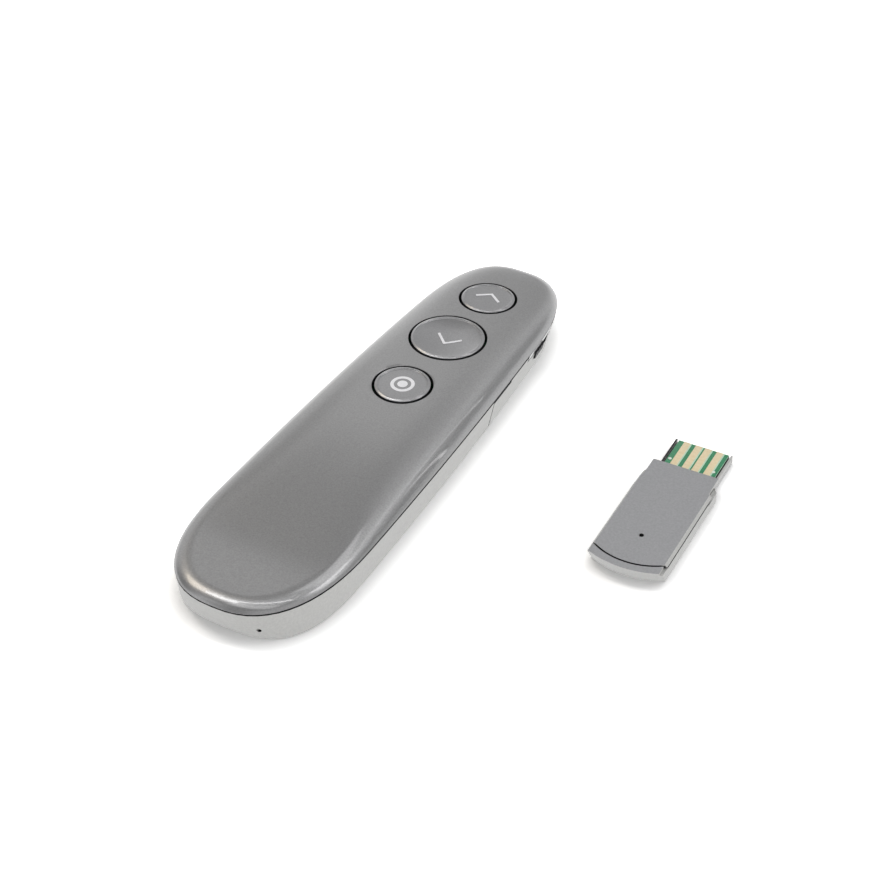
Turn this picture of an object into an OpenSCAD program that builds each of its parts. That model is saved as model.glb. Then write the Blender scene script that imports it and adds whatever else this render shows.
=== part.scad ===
// Wireless presentation clicker with its USB receiver lying beside it.
// X runs to the right of the clicker, Y towards its laser end, Z up. The origin is
// on the table, under the middle of the clicker's length. A "station" is a distance
// along Y, measured from the clicker's back end.

/* [Clicker outline] */
// Length of the clicker
clicker_l = 120.8; // [115:0.2:130]
// Width at the widest station
clicker_w = 34.1; // [32:0.1:38]
// Station of the widest place
wide_st = 17; // [8:0.5:30]
// Share of the half width lost over one clicker length
waist = 0.345; // [0.2:0.005:0.4]
// Length of the back end's rounding
back_len = 28.2; // [22:0.2:32]
// Squareness of the back end, 2 being an ellipse
back_power = 2.5; // [2:0.05:3]
// Length of the laser end's rounding
nose_len = 24.2; // [18:0.2:28]
// Squareness of the laser end
nose_power = 2.9; // [2:0.05:3.2]

/* [Base outline] */
// Width of the flat underside
base_w = 33.0; // [31:0.1:36]
// Share of the underside's half width lost over one clicker length
base_waist = 0.36; // [0.3:0.01:0.5]
// How far the underside stops short of each end
base_short = 3.0; // [2:0.1:4]
// Length of the underside's rounding at the back
base_back_len = 24.6; // [20:0.2:28]
// Squareness of the underside's back end
base_back_power = 3.1; // [2.4:0.05:3.4]
// Length of the underside's rounding at the laser end
base_nose_len = 14; // [10:0.5:20]
// Squareness of the underside's laser end
base_nose_power = 2.2; // [2:0.05:3]
// Radius of the underside's edge
base_edge_r = 0.8; // [0.4:0.1:1]

/* [Heights] */
// Height of the seam between the covers
seam_z = 7.6; // [7.4:0.1:9]
// Gap at the seam
seam_gap = 0.3; // [0.2:0.05:0.5]
// Height of the top cover's rounded rim
rim_h = 1.8; // [1:0.1:2.2]
// Width of the top cover's rounded rim
rim_w = 3.2; // [2:0.1:4]
// Height of the crown above the rim, at its crest
crown_h = 3.5; // [3:0.1:5]
// Distance of the crown's crest from the nose end
crest_to_nose = 45.3; // [38:0.1:56]
// Share of the crown lost 60 mm from the crest
crown_fall = 1.05; // [0.8:0.01:1.1]
// Flatness of the crown across the width
crown_power = 5; // [3:0.5:7]
// Softness of the crown's run-out at the back, as a share of its height
crown_soft = 0.15; // [0.05:0.01:0.3]

/* [Walls] */
// Wall of the top cover
cover_wall = 1.5; // [1.2:0.1:1.8]
// Wall and floor of the lower shells
shell_wall = 1.3; // [1:0.1:1.5]
// Gap between parts that slide or lift past each other
slide_gap = 0.3; // [0.25:0.05:0.4]
// Gap between fixed parts that are set into each other
fit_gap = 0.1; // [0.05:0.01:0.2]

/* [Buttons] */
// Distance from the nose end to the button that points forward
up_to_nose = 17.2; // [16.4:0.1:19]
// Distance from the nose end to the large button
down_to_nose = 34.5; // [33.4:0.1:35.8]
// Distance from the nose end to the pointer button
spot_to_nose = 52.9; // [52:0.1:55]
// Diameter of the large hole in the cover
big_hole_d = 16.2; // [15:0.1:17]
// Diameter of the small holes in the cover
small_hole_d = 12.3; // [11:0.1:13]
// Gap round each cap
cap_gap = 0.4; // [0.2:0.05:0.5]
// How far a cap's lip stands out of the cover
cap_proud = 0.2; // [0.1:0.05:0.6]
// Width of the lip round a cap's face
cap_lip_w = 0.75; // [0.6:0.05:1]
// Depth of the large cap's face inside its lip
big_dish = 1.3; // [0.4:0.1:1.4]
// Depth of a small cap's face inside its lip
small_dish = 0.35; // [0.2:0.05:0.6]
// Radius of a cap's edge
cap_edge_r = 0.35; // [0.2:0.05:0.5]
// Thickness of a cap's face
cap_t = 1.2; // [1:0.1:1.4]
// How far the flange reaches past the hole
flange_w = 0.9; // [0.6:0.1:1]
// Thickness of the flange
flange_t = 0.8; // [0.6:0.1:0.9]
// Wall of the cap's skirt
skirt_t = 1.2; // [0.9:0.1:1.4]
// Travel of a button
button_travel = 0.6; // [0.3:0.05:0.7]
// Chamfer round each hole
hole_chamfer = 0.2; // [0.1:0.05:0.4]

/* [Electronics] */
// Thickness of the circuit boards
board_t = 1.0; // [0.8:0.1:1.2]
// Width of the main board
board_w = 22.6; // [21.6:0.1:23.2]
// Distance of the main board's back edge from the nose end
board_to_nose = 62.8; // [61:0.1:65]
// Distance of the main board's front edge from the nose end
board_end_to_nose = 8; // [7.4:0.1:8.4]
// Corner radius of the main board
board_r = 4; // [2:0.5:6]
// Side of a tact switch
tact_w = 4.5; // [4:0.1:5]
// Height of a tact switch's case
tact_h = 1.2; // [1:0.1:1.4]
// Diameter of a tact switch's plunger
plunger_d = 1.8; // [1.4:0.1:2.2]
// How far the plunger stands out of the case
plunger_rise = 0.9; // [0.8:0.05:1]
// Side of the radio chip
chip_w = 4; // [3:0.1:4.4]
// Height of the chips
chip_h = 0.9; // [0.8:0.1:1]
// Width of the crystal
crystal_w = 2.5; // [2:0.1:3.2]
// Length of the crystal
crystal_l = 3.2; // [2.5:0.1:4]
// Height of the crystal and the antenna
crystal_h = 0.8; // [0.6:0.1:1]
// Distance of the radio chip and the crystal from the middle
chip_x = 8.4; // [8:0.1:8.6]
// Length of the chip antenna
antenna_l = 7; // [5:0.1:8]
// Width of the chip antenna
antenna_w = 1.2; // [1:0.1:1.6]

/* [Power switch] */
// Distance of the middle of the switch's slot from the nose end
slot_to_nose = 18.6; // [18.2:0.1:20]
// Thickness of the ends of the switch's case
switch_wall = 0.8; // [0.6:0.1:1.2]
// Travel of the knob
knob_travel = 2.8; // [2:0.1:3.6]
// Length of the knob
knob_l = 4.2; // [4:0.1:5]
// Height of the knob
knob_h = 1.8; // [1.4:0.1:2.4]
// How far the knob stands out of the flank
knob_proud = 0.35; // [0:0.05:0.5]
// How far the cover's tab reaches past the slot towards the back
tab_back = 3.6; // [1:0.1:5]
// How far the cover's tab reaches past the slot towards the nose
tab_front = 1.3; // [0.8:0.1:3]
// Number of grip grooves in the knob
knob_grooves = 3; // [1:1:4]
// Height of the switch's case
switch_h = 1.5; // [1.3:0.1:1.6]
// Width of the switch's case
switch_w = 2.8; // [2.4:0.1:3]

/* [Laser] */
// Diameter of the laser's barrel
barrel_d = 5.0; // [4.6:0.1:5.2]
// Length of the laser's barrel
barrel_l = 13; // [11:0.5:14]
// Bore of the laser's barrel
barrel_bore_d = 3.6; // [3.2:0.1:4]
// Gap between the barrel and the window
barrel_to_window = 1.6; // [1.2:0.1:2]
// Diameter of the window in the nose
window_d = 4.0; // [3.4:0.1:4.2]
// Thickness of the window and the lens
window_t = 0.9; // [0.7:0.1:1.2]

/* [Battery cover] */
// Station where the battery cover ends
split_st = 78; // [77:0.1:79]
// Height of the rails that hold the battery cover
rail_t = 0.8; // [0.6:0.1:1]
// Station where the rails start
rail_st = 34; // [30:0.5:38]
// Length of the rails
rail_l = 36; // [28:0.5:38]
// How far the rails hook over each other
rail_hook = 0.8; // [0.6:0.1:1]
// Diameter of the pinhole in the back
pinhole_d = 0.9; // [0.6:0.1:1.2]
// Distance of the pinhole from the middle
pinhole_x = 7.9; // [6:0.1:9]
// Height of the pinhole
pinhole_z = 3.0; // [2.6:0.1:4]
// Depth of the thumb hollow under the seam, ahead of the battery cover
relief_h = 0.5; // [0.2:0.05:0.6]
// Length of the thumb hollow
relief_l = 8; // [5:0.5:10]

/* [Chassis] */
// Width of the chassis
chassis_w = 22.8; // [22.6:0.1:23.2]
// Station where the chassis starts
chassis_st = 6.6; // [6.4:0.1:8]
// Corner radius of the chassis
chassis_r = 7; // [6:0.5:8]
// Thickness of the chassis's deck
deck_t = 0.9; // [0.8:0.1:1.1]
// Wall round the pockets of the chassis
pocket_wall = 0.9; // [0.8:0.05:1]
// Diameter of the coin cell
cell_d = 20; // [16:0.5:20]
// Thickness of the coin cell
cell_t = 3.2; // [2.5:0.1:3.2]
// Station of the middle of the coin cell
cell_st = 18.2; // [18:0.1:18.4]
// Thickness of the contact strips
contact_t = 0.3; // [0.2:0.05:0.4]
// Station where the receiver's bay starts
bay_st = 32.6; // [32.4:0.1:33]
// Spare room in the bay round the receiver
bay_gap = 0.3; // [0.2:0.05:0.4]

/* [Screws] */
// Diameter of the screws' thread
screw_d = 1.7; // [1.4:0.1:2]
// Diameter of the screws' heads
head_d = 3.0; // [2.6:0.1:3.2]
// Height of the screws' heads
head_h = 0.8; // [0.6:0.1:0.9]
// Diameter of the bosses
boss_d = 3.8; // [3.4:0.1:4]
// Station of the back pair of screws
back_screw_st = 30; // [29.6:0.1:30.2]
// Distance of the back screws from the middle
back_screw_x = 8.4; // [8:0.1:8.6]
// Distance of the front pair of screws from the nose end
front_screw_to_nose = 26.4; // [26:0.1:26.8]
// Distance of the front screws from the middle
front_screw_x = 9.4; // [9.2:0.1:9.5]

/* [Receiver] */
// Width of the receiver's body
rx_w = 15.4; // [15:0.1:16]
// Height of the receiver
rx_h = 3.9; // [3.7:0.1:4]
// Height of the receiver's deep body
rx_body_h = 3.0; // [2.6:0.1:3.2]
// Length of the deep body
rx_body_l = 26; // [24:0.5:28]
// Radius of the body's corners by the plug
rx_corner_r = 1; // [0.5:0.1:1.5]
// Length of the receiver's cover
rx_cover_l = 28.1; // [27.5:0.1:29]
// Width of the cover's top face at the lip
rx_top_w = 14.3; // [14:0.1:14.6]
// Width of the cover's neck by the plug
rx_neck_w = 13.7; // [13:0.1:14]
// Length of the neck
rx_neck_l = 5.3; // [3:0.1:6]
// How far the lip stands out of the body
rx_lip = 2.8; // [2:0.1:3.4]
// Thickness of the lip
rx_lip_t = 1.5; // [1.2:0.1:2]
// How far the lip's front slopes back, from its top edge down to the table
rx_lip_cut = 2.3; // [1:0.1:2.6]
// Radius of the arc between the cover and the lip
rx_arc_r = 12.5; // [11:0.5:16]
// Radius of the lip's outer edge
rx_lip_r = 18; // [16:0.5:24]
// Groove between the cover and the lip
rx_groove = 0.4; // [0.3:0.05:0.6]
// How far the plug reaches past the cover
rx_plug_l = 10.2; // [9:0.1:11]
// Width of the plug's board
rx_board_w = 10.8; // [10.6:0.1:11.4]
// Gap between the plug's board and the tray's walls
rx_board_gap = 0.3; // [0.1:0.05:0.4]
// Height of the tray's underside over the table
rx_tray_lift = 0.3; // [0.1:0.1:0.5]
// Width of the plug's tray
rx_tray_w = 12.2; // [12:0.1:12.4]
// Height of the plug's board above the table
rx_board_z = 1.9; // [1.7:0.1:2]
// Thickness of the receiver's board
rx_board_t = 0.8; // [0.6:0.1:0.9]
// Thickness of the contact pads
pad_t = 0.06; // [0.04:0.01:0.1]
// Width of the contact pads
pad_w = 1.4; // [1.2:0.1:1.6]
// Distance between the outer pads
outer_pads = 7.0; // [6.8:0.1:7.2]
// Distance between the inner pads
inner_pads = 2.0; // [1.8:0.1:2.2]
// Diameter of the light hole
rx_light_d = 1.0; // [0.8:0.1:1.4]
// Width of the light under the hole
light_w = 1; // [0.8:0.1:1.4]
// Length of that light
light_l = 1.6; // [1.2:0.1:2]
// Height of that light
light_h = 0.6; // [0.4:0.1:0.7]
// Distance of the light hole from the cover's edge
rx_light_st = 5.8; // [5:0.1:9]
// Distance of the receiver's board from the cover's edge
rx_board_st = 3; // [2:0.5:4]
// Distance of the latch slots in the sides from the cover's edge
rx_slot_st = 20.9; // [16:0.1:21]
// Length of the latch slots
rx_slot_l = 5; // [4:0.1:5]
// How far the receiver lies to the right of the clicker
rx_x = 57.2; // [50:0.1:70]
// Station where the receiver's cover starts
rx_st = 53.9; // [40:0.1:60]
// Turn of the receiver
rx_turn = 2.3; // [-10:0.1:10]

/* [Hidden] */
$fn = 64;
eps = 0.01;

ring_n = 96;                // points round each outline
rim_steps = 5;              // rings round the cover's rim
crown_steps = 4;            // rings from the rim to the crest line
crown_span = 60;            // distance over which crown_fall is counted

half_l = clicker_l / 2;

// Stations of what keeps its distance from the nose
crest_st = clicker_l - crest_to_nose;
up_st = clicker_l - up_to_nose;
down_st = clicker_l - down_to_nose;
spot_st = clicker_l - spot_to_nose;
board_st = clicker_l - board_to_nose;
board_end_st = clicker_l - board_end_to_nose;
slot_st = clicker_l - slot_to_nose;
front_screw_st = clicker_l - front_screw_to_nose;

cover_z = seam_z + seam_gap / 2;        // lower edge of the top cover
shell_z = seam_z - seam_gap / 2;        // upper edge of the lower shells

// Heights of the stack inside, from the floor up
chassis_z = shell_wall + slide_gap;
bay_depth = rx_h + bay_gap;
deck_z = chassis_z + bay_depth;
board_z = deck_z + deck_t;
board_top = board_z + board_t;
plunger_top = board_top + tact_h + plunger_rise;

// The receiver's curves, and the heights inside it
function sagitta(r, w) = r - sqrt(r * r - w * w / 4);
rx_bow = sagitta(rx_arc_r, rx_top_w);
rx_lip_bow = sagitta(rx_lip_r, rx_top_w);
rx_floor_z = rx_board_z - rx_board_t - fit_gap;
rx_length = rx_lip + rx_lip_bow + rx_cover_l + rx_plug_l;

// ---- outlines -------------------------------------------------------------

// Share of the full half width at distance d from an end rounded over length len
function end_round(d, len, power) =
    d >= len ? 1 : d <= 0 ? 0 : pow(1 - pow((len - d) / len, power), 1 / power);

function bowed(st, half, loss, widest) =
    half * (1 - loss * pow((st - widest) / clicker_l, 2));

// Half width of the clicker at the seam, drawn in by inset
function seam_half(st, inset = 0) =
    (bowed(st, clicker_w / 2, waist, wide_st) - inset)
    * end_round(st - inset, back_len - inset, back_power)
    * end_round(clicker_l - inset - st, nose_len - inset, nose_power);

// Half width of the underside, drawn in by inset
function base_half(st, inset = 0) =
    (bowed(st, base_w / 2, base_waist, 0) - inset)
    * end_round(st - base_short - inset, base_back_len - inset, base_back_power)
    * end_round(clicker_l - base_short - inset - st, base_nose_len - inset, base_nose_power);

// Station of ring point k between two ends, closer together near the ends
function ring_st(k, from, to) = from + (to - from) * (1 - cos(360 * k / ring_n)) / 2;
function side(k) = k <= ring_n / 2 ? 1 : -1;

function seam_ring(inset) = [for (k = [0:ring_n - 1])
    let (st = ring_st(k, inset, clicker_l - inset)) [side(k) * seam_half(st, inset), st]];
function base_ring(inset) = [for (k = [0:ring_n - 1])
    let (st = ring_st(k, base_short + inset, clicker_l - base_short - inset))
    [side(k) * base_half(st, inset), st]];

// ---- surface of the top cover ----------------------------------------------

function fall(st) = 1 - crown_fall * pow((st - crest_st) / crown_span, 2);
function crown(st) = crown_h * (fall(st) + sqrt(pow(fall(st), 2) + pow(crown_soft, 2))) / 2;
function crest(st) = seam_z + rim_h + crown(st);
function crest_slope(st) = (crest(st + 0.5) - crest(st - 0.5));

// Height of the cover over a point off the crest line
function cover_top(x, st) =
    seam_z + rim_h + crown(st) * (1 - pow(abs(x) / seam_half(st), crown_power));

// One ring of the cover: s is 1 at the outline and 0 on the crest line
function crest_st_of(st) = clicker_w / 2 + st * (clicker_l - clicker_w) / clicker_l;
function cover_ring(outline, s, lift, drop) = [for (p = outline)
    let (mid = crest_st_of(p[1]), st = mid + s * (p[1] - mid))
    [s * p[0], st, seam_z + lift + crown(st) * (1 - pow(s, crown_power)) - drop]];

rim_angles = [for (i = [1:rim_steps]) 90 * i / rim_steps];
rim_s = 1 - 2 * rim_w / clicker_w;

// Solid under the cover's surface, drawn in by inset and lowered by drop
module pillow(inset, drop, foot_z) {
    outline = seam_ring(inset);
    foot = [for (p = outline) [p[0], p[1], foot_z]];
    edge = [for (p = outline) [p[0], p[1], max(seam_z - drop, foot_z + eps)]];
    rim = [for (a = rim_angles)
        cover_ring(outline, 1 - (1 - rim_s) * (1 - cos(a)), rim_h * sin(a), drop)];
    top = [for (i = [1:crown_steps])
        cover_ring(outline, rim_s * (1 - i / (crown_steps + 1)), rim_h, drop)];
    line = [for (k = [0:ring_n / 2])
        let (st = crest_st_of(outline[k][1])) [0, st, crest(st) - drop]];
    rings = concat([foot, edge], rim, top);
    loft(rings, line);
}

// Skin over a stack of rings, closed by a flat foot and by a line or a flat top
module loft(rings, line = []) {
    n = len(rings[0]);
    last = (len(rings) - 1) * n;
    walls = [for (j = [0:len(rings) - 2], k = [0:n - 1])
        let (a = j * n + k, b = j * n + (k + 1) % n) each [[a, a + n, b + n], [a, b + n, b]]];
    foot = [for (k = [0:n - 1]) k];
    flat_top = [for (k = [n - 1:-1:0]) last + k];
    function on_line(k) = last + n + (k <= n / 2 ? k : n - k);
    crest_faces = [for (k = [0:n - 1]) let (b = (k + 1) % n)
        each (on_line(k) == on_line(b) ? [] :
              [[last + k, on_line(k), on_line(b)], [last + k, on_line(b), last + b]])];
    points = [for (r = rings) each r];
    translate([0, -half_l, 0])
    if (len(line) == 0) polyhedron(points, concat(walls, [foot, flat_top]));
    else polyhedron(concat(points, line), concat(walls, [foot], crest_faces));
}

// ---- lower body, between the underside and the seam --------------------------

function between(a, b, f) = [for (k = [0:len(a) - 1]) a[k] + (b[k] - a[k]) * f];
function at_z(ring, z) = [for (p = ring) [p[0], p[1], z]];

// Solid of the lower body, drawn in by inset, from floor_z up to top_z
module hull_body(inset, floor_z, top_z) {
    low = base_ring(inset);
    high = seam_ring(inset);
    edge_r = max(base_edge_r - inset / 2, 0.2);
    low_in = base_ring(inset + edge_r);
    share = function (z) z / seam_z;
    edge = [for (a = [0:30:90]) let (z = floor_z + edge_r * (1 - cos(a)))
        at_z(between(between(low_in, high, share(z)), between(low, high, share(z)), sin(a)), z)];
    loft(concat(edge, [at_z(between(low, high, share(top_z)), top_z)]));
}

// Half width of the lower body at a height, on the flank
function flank_x(st, z) = base_half(st) + (seam_half(st) - base_half(st)) * z / seam_z;

module shell_skin() {
    difference() {
        hull_body(0, 0, shell_z);
        hull_body(shell_wall, shell_wall, seam_z + 1);
    }
}

// Everything from one station to another
module stations(from, to) {
    translate([-clicker_w, from - half_l, -1]) cube([2 * clicker_w, to - from, clicker_w]);
}

module at(x, st, z = 0) translate([x, st - half_l, z]) children();

// From a station towards the laser end, along Y
module along(st, z) at(0, st, z) rotate([-90, 0, 0]) children();

module both_sides() {
    children();
    mirror([1, 0, 0]) children();
}

module block(w, l, h) translate([-w / 2, -l / 2, 0]) cube([w, l, h]);

module round_plate(w, from, to, r, h) {
    at(0, 0) linear_extrude(h) {
        translate([-w / 2, from + r]) square([w, to - from - 2 * r]);
        translate([-w / 2 + r, from]) square([w - 2 * r, to - from]);
        for (x = [-1, 1], y = [from + r, to - r]) translate([x * (w / 2 - r), y]) circle(r);
    }
}

// ---- screws ----------------------------------------------------------------

pilot_d = screw_d + 2 * fit_gap;
back_screws = [for (x = [-1, 1]) [x * back_screw_x, back_screw_st]];
front_screws = [for (x = [-1, 1]) [x * front_screw_x, front_screw_st]];
hole_d = screw_d + 3 * fit_gap;         // clear hole for a screw's thread
front_seat_z = shell_wall - fit_gap;    // ceiling of the recess for a front screw's head
boss_bite = cover_wall * 0.4;           // how far a boss runs into the cover's wall
drive_w = 0.4;                          // width of the cross slot in a head

function boss_top(p) = cover_top(p[0], p[1]) - cover_wall;

// Screw with its head's shoulder at seat_z
module screw(p, seat_z) {
    at(p[0], p[1], seat_z) {
        translate([0, 0, -head_h]) difference() {
            cylinder(d = head_d, h = head_h);
            translate([0, 0, -eps]) for (a = [0, 90])
                rotate(a) block(head_d * 0.6, drive_w, head_h / 2);
        }
        translate([0, 0, -eps]) cylinder(d = screw_d, h = boss_top(p) - seat_z - fit_gap);
    }
}

module screws() {
    color("silver") {
        for (p = back_screws) screw(p, deck_z);
        for (p = front_screws) screw(p, front_seat_z);
    }
}

module screw_holes(points, d, from, to) {
    for (p = points) at(p[0], p[1], from) cylinder(d = d, h = to - from);
}

// ---- top cover and buttons -------------------------------------------------

// [station, hole diameter, how far the cap's lip stands out, depth of its dish]
up = [up_st, small_hole_d, cap_proud, small_dish];
down = [down_st, big_hole_d, cap_proud, big_dish];
spot = [spot_st, small_hole_d, cap_proud, small_dish];

module on_crest(st) {
    translate([0, st - half_l, crest(st)]) rotate([atan(crest_slope(st)), 0, 0]) children();
}

module cover_boss(p, foot_z) {
    at(p[0], p[1], foot_z) cylinder(d = boss_d, h = boss_top(p) + boss_bite - foot_z);
}

module top_cover() {
    color("#8A8C8D") difference() {
        union() {
            difference() {
                pillow(0, 0, cover_z);
                pillow(cover_wall, cover_wall, seam_z - 2 * cover_wall);
            }
            switch_tab();
            for (p = back_screws) cover_boss(p, board_z + fit_gap);
            for (p = front_screws) cover_boss(p, board_top + fit_gap);
        }
        screw_holes(back_screws, pilot_d, 0, boss_top(back_screws[0]));
        screw_holes(front_screws, pilot_d, 0, boss_top(front_screws[0]));
        for (b = [up, down, spot]) on_crest(b[0]) {
            translate([0, 0, -2 * cover_wall]) cylinder(d = b[1], h = 4 * cover_wall);
            translate([0, 0, -hole_chamfer])
                cylinder(h = cover_wall, d1 = b[1], d2 = b[1] + 2 * cover_wall);
        }
    }
}

// Height of a cap's inner face over the cover
function ceiling(b) = b[2] - b[3] - cap_t;

// Cap with a dished face inside a lip, a skirt and a flange that stops it under the cover
module cap(b) {
    r = b[1] / 2 - cap_gap;
    bowl = r - cap_lip_w;
    bowl_r = (bowl * bowl + b[3] * b[3]) / (2 * b[3]);
    flange_r = b[1] / 2 + flange_w;
    under = cover_top(flange_r, b[0]) - crest(b[0]) - cover_wall - slide_gap;
    foot = under - flange_t;
    on_crest(b[0]) difference() {
        rotate_extrude() {
            translate([0, foot]) square([flange_r, flange_t]);
            translate([0, foot]) square([r, b[2] - cap_edge_r - foot]);
            translate([0, foot]) square([r - cap_edge_r, b[2] - foot]);
            translate([r - cap_edge_r, b[2] - cap_edge_r]) circle(cap_edge_r);
        }
        translate([0, 0, b[2] - b[3] + bowl_r]) sphere(bowl_r, $fn = 128);
        translate([0, 0, foot - 1]) cylinder(r = r - skirt_t, h = ceiling(b) - foot + 1);
    }
}

// Post under a cap's face, down to the plunger of its tact switch
module cap_post(b) {
    length = crest(b[0]) + ceiling(b) - plunger_top;
    on_crest(b[0]) translate([0, 0, ceiling(b) - length])
        cylinder(d = plunger_d * 1.4, h = length + cap_t / 2);
}

module button(b) {
    color("#8E9091") {
        cap(b);
        cap_post(b);
    }
}

module button_up() button(up);
module button_down() button(down);
module button_spot() button(spot);

// ---- lower shells ----------------------------------------------------------

rail_drop = 0.9;                        // clear height between the chassis's rail and deck
rail_z = deck_z - rail_drop - rail_t;   // underside of the chassis's rail
hook_z = rail_z + rail_t + slide_gap;   // underside of the cover's rail
hook_x = chassis_w / 2 + 2 * slide_gap; // inner edge of the cover's rail
rail_x = hook_x + rail_hook;            // outer edge of the chassis's rail

module battery_cover() {
    color("#BEBEBA") {
        difference() {
            intersection() {
                shell_skin();
                stations(-1, split_st - seam_gap / 2);
            }
            at(pinhole_x, 0, pinhole_z) rotate([-90, 0, 0])
                cylinder(d = pinhole_d, h = base_short + 2 * shell_wall, $fn = 24);
        }
        // Rails that hook over the chassis's rails
        intersection() {
            hull_body(shell_wall / 2, 0, shell_z);
            both_sides() at(hook_x, rail_st, hook_z) cube([clicker_w, rail_l, rail_t]);
        }
    }
}

// Stations of the laser's parts, from the nose's slope at the window's lower edge
laser_z = chassis_z + barrel_d / 2;
function nose_st(z) = clicker_l - base_short * (1 - z / seam_z);
window_end = nose_st(laser_z - window_d / 2) - 2 * fit_gap;
barrel_end = window_end - window_t - barrel_to_window;

// The power switch hangs from the board, and its knob fills part of the slot
switch_x = board_w / 2 - slide_gap - switch_w / 2;
lever_w = 1.3;
lever_t = 0.6;
lever_z = board_z - switch_h / 2;       // middle of the lever
knob_z = lever_z + lever_t / 2 - knob_h / 2;
knob_st = slot_st - knob_travel / 2;    // middle of the knob at rest
knob_x = hook_x - slide_gap;            // inner face of the knob
slot_l = knob_l + knob_travel + 2 * slide_gap;
slot_h = knob_h + 2 * slide_gap;

// Tab of the top cover, down to the slot's upper edge
tab_z = knob_z + slot_h / 2;
tab_from = slot_st - slot_l / 2 - tab_back;
tab_to = slot_st + slot_l / 2 + tab_front;

module beside_slot(foot_z, top_z, margin = 0) {
    at(0, tab_from - margin, foot_z) cube([clicker_w, tab_to - tab_from + 2 * margin, top_z - foot_z]);
}

module switch_tab() {
    difference() {
        union() {
            intersection() {
                hull_body(0, 0, cover_z + eps);
                beside_slot(tab_z, clicker_w);
            }
            // Root inside the cover's wall
            intersection() {
                hull_body(shell_wall / 2, 0, cover_z + boss_bite);
                beside_slot(tab_z, clicker_w);
            }
        }
        hull_body(shell_wall, shell_wall, clicker_w);
    }
}

saddle_wall = 1.2;                      // wall of the saddles beside the laser
saddle_t = 1.4;

// Hollow along the right edge, where a thumb pushes the battery cover off
module edge_scoop(from, l) {
    foot = seam_half(from);
    at(foot, from - 1, shell_z) rotate([-90, 0, -atan((seam_half(from + l) - foot) / l)])
        translate([relief_h, -relief_h, 0]) cylinder(r = 2.5 * relief_h, h = l + 1);
}

module front_shell() {
    from = split_st + seam_gap / 2;
    post_top = board_z - fit_gap;
    color("#BEBEBA") difference() {
        union() {
            intersection() {
                union() {
                    shell_skin();
                    // Bulkhead behind the battery cover
                    intersection() {
                        hull_body(shell_wall / 2, 0.2, post_top);
                        stations(from, from + shell_wall);
                    }
                }
                stations(from, clicker_l + 1);
            }
            for (p = front_screws) at(p[0], p[1], shell_wall - eps)
                cylinder(d = boss_d, h = post_top - shell_wall);
            // Saddles that carry the laser
            for (share = [0.2, 0.8]) at(0, barrel_end - barrel_l * share, shell_wall - eps)
                block(barrel_d + 2 * saddle_wall, saddle_t, laser_z - shell_wall);
        }
        along(barrel_end - barrel_l - 1, laser_z) cylinder(d = barrel_d + 2 * fit_gap, h = barrel_l + 2);
        along(barrel_end, laser_z) cylinder(d = window_d + 2 * fit_gap, h = clicker_l);
        at(knob_x, slot_st - slot_l / 2, knob_z - slot_h / 2) cube([clicker_w, slot_l, slot_h]);
        beside_slot(tab_z - seam_gap, clicker_w, seam_gap);
        edge_scoop(from, relief_l);
        screw_holes(front_screws, head_d + 4 * fit_gap, -1, front_seat_z);
        screw_holes(front_screws, hole_d, 0, board_z);
    }
}

// ---- chassis ---------------------------------------------------------------

chassis_end = split_st - seam_gap / 2 - 0.5;
bay_w = rx_w + 2 * bay_gap;
bay_l = rx_length + 2 * bay_gap;
pocket_d = cell_d + 4 * fit_gap;
cell_z = deck_z - contact_t - 2 * fit_gap - cell_t;
web_t = 1.2;                            // thickness of the webs that carry the rails
web_n = 5;

// The contacts' strips run along the deck to the board
strip_w = 1.2;
positive_st = cell_st + cell_d / 2 + fit_gap;   // back face of the positive contact
negative_x = -5.2;                              // middle of the negative strip
contact_w = 5;

module chassis() {
    color("#2E2F31") difference() {
        union() {
            translate([0, 0, deck_z]) round_plate(chassis_w, chassis_st, chassis_end, chassis_r, deck_t);
            at(0, cell_st, chassis_z) cylinder(d = pocket_d + 2 * pocket_wall, h = bay_depth + eps);
            at(0, bay_st + bay_l / 2, chassis_z)
                block(bay_w + 2 * pocket_wall, bay_l + 2 * pocket_wall, bay_depth + eps);
            // Rails that the battery cover hooks over, on webs under the deck
            both_sides() at(bay_w / 2, rail_st, rail_z) {
                cube([rail_x - bay_w / 2, rail_l, rail_t]);
                for (i = [0:web_n - 1]) translate([0, i * (rail_l - web_t) / (web_n - 1), 0])
                    cube([(chassis_w - bay_w) / 2 - slide_gap, web_t, deck_z - rail_z + eps]);
            }
        }
        at(0, cell_st, chassis_z - 1) cylinder(d = pocket_d, h = bay_depth + 1);
        at(0, bay_st + bay_l / 2, chassis_z - 1) block(bay_w, bay_l, bay_depth + 1);
        screw_holes(back_screws, hole_d, deck_z - 1, board_z + 1);
        // Notch for the positive contact, and slots for both strips through the deck
        at(0, positive_st, chassis_z - 1)
            block(contact_w + 2 * fit_gap, 2 * (contact_t + fit_gap), bay_depth + 1);
        at(0, positive_st + contact_t / 2, chassis_z)
            block(strip_w + 2 * fit_gap, contact_t + 2 * fit_gap, bay_depth + 2 * deck_t);
        at(negative_x, cell_st, chassis_z)
            block(strip_w + 2 * fit_gap, strip_w + 2 * fit_gap, bay_depth + 2 * deck_t);
    }
}

// Can with its open rim and the smaller negative face up
module coin_cell() {
    color("#C9CACC") at(0, cell_st, cell_z) rotate_extrude() {
        square([cell_d * 0.42, cell_t]);
        square([cell_d / 2, cell_t * 0.85]);
    }
}

// Strip that rises through the deck and runs forward to the board
module strip(x, st, foot_z) {
    run_z = board_z + fit_gap;
    at(x - strip_w / 2, st, foot_z) cube([strip_w, contact_t, run_z + contact_t - foot_z]);
    at(x - strip_w / 2, st, run_z) cube([strip_w, board_st - fit_gap - st, contact_t]);
}

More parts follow.
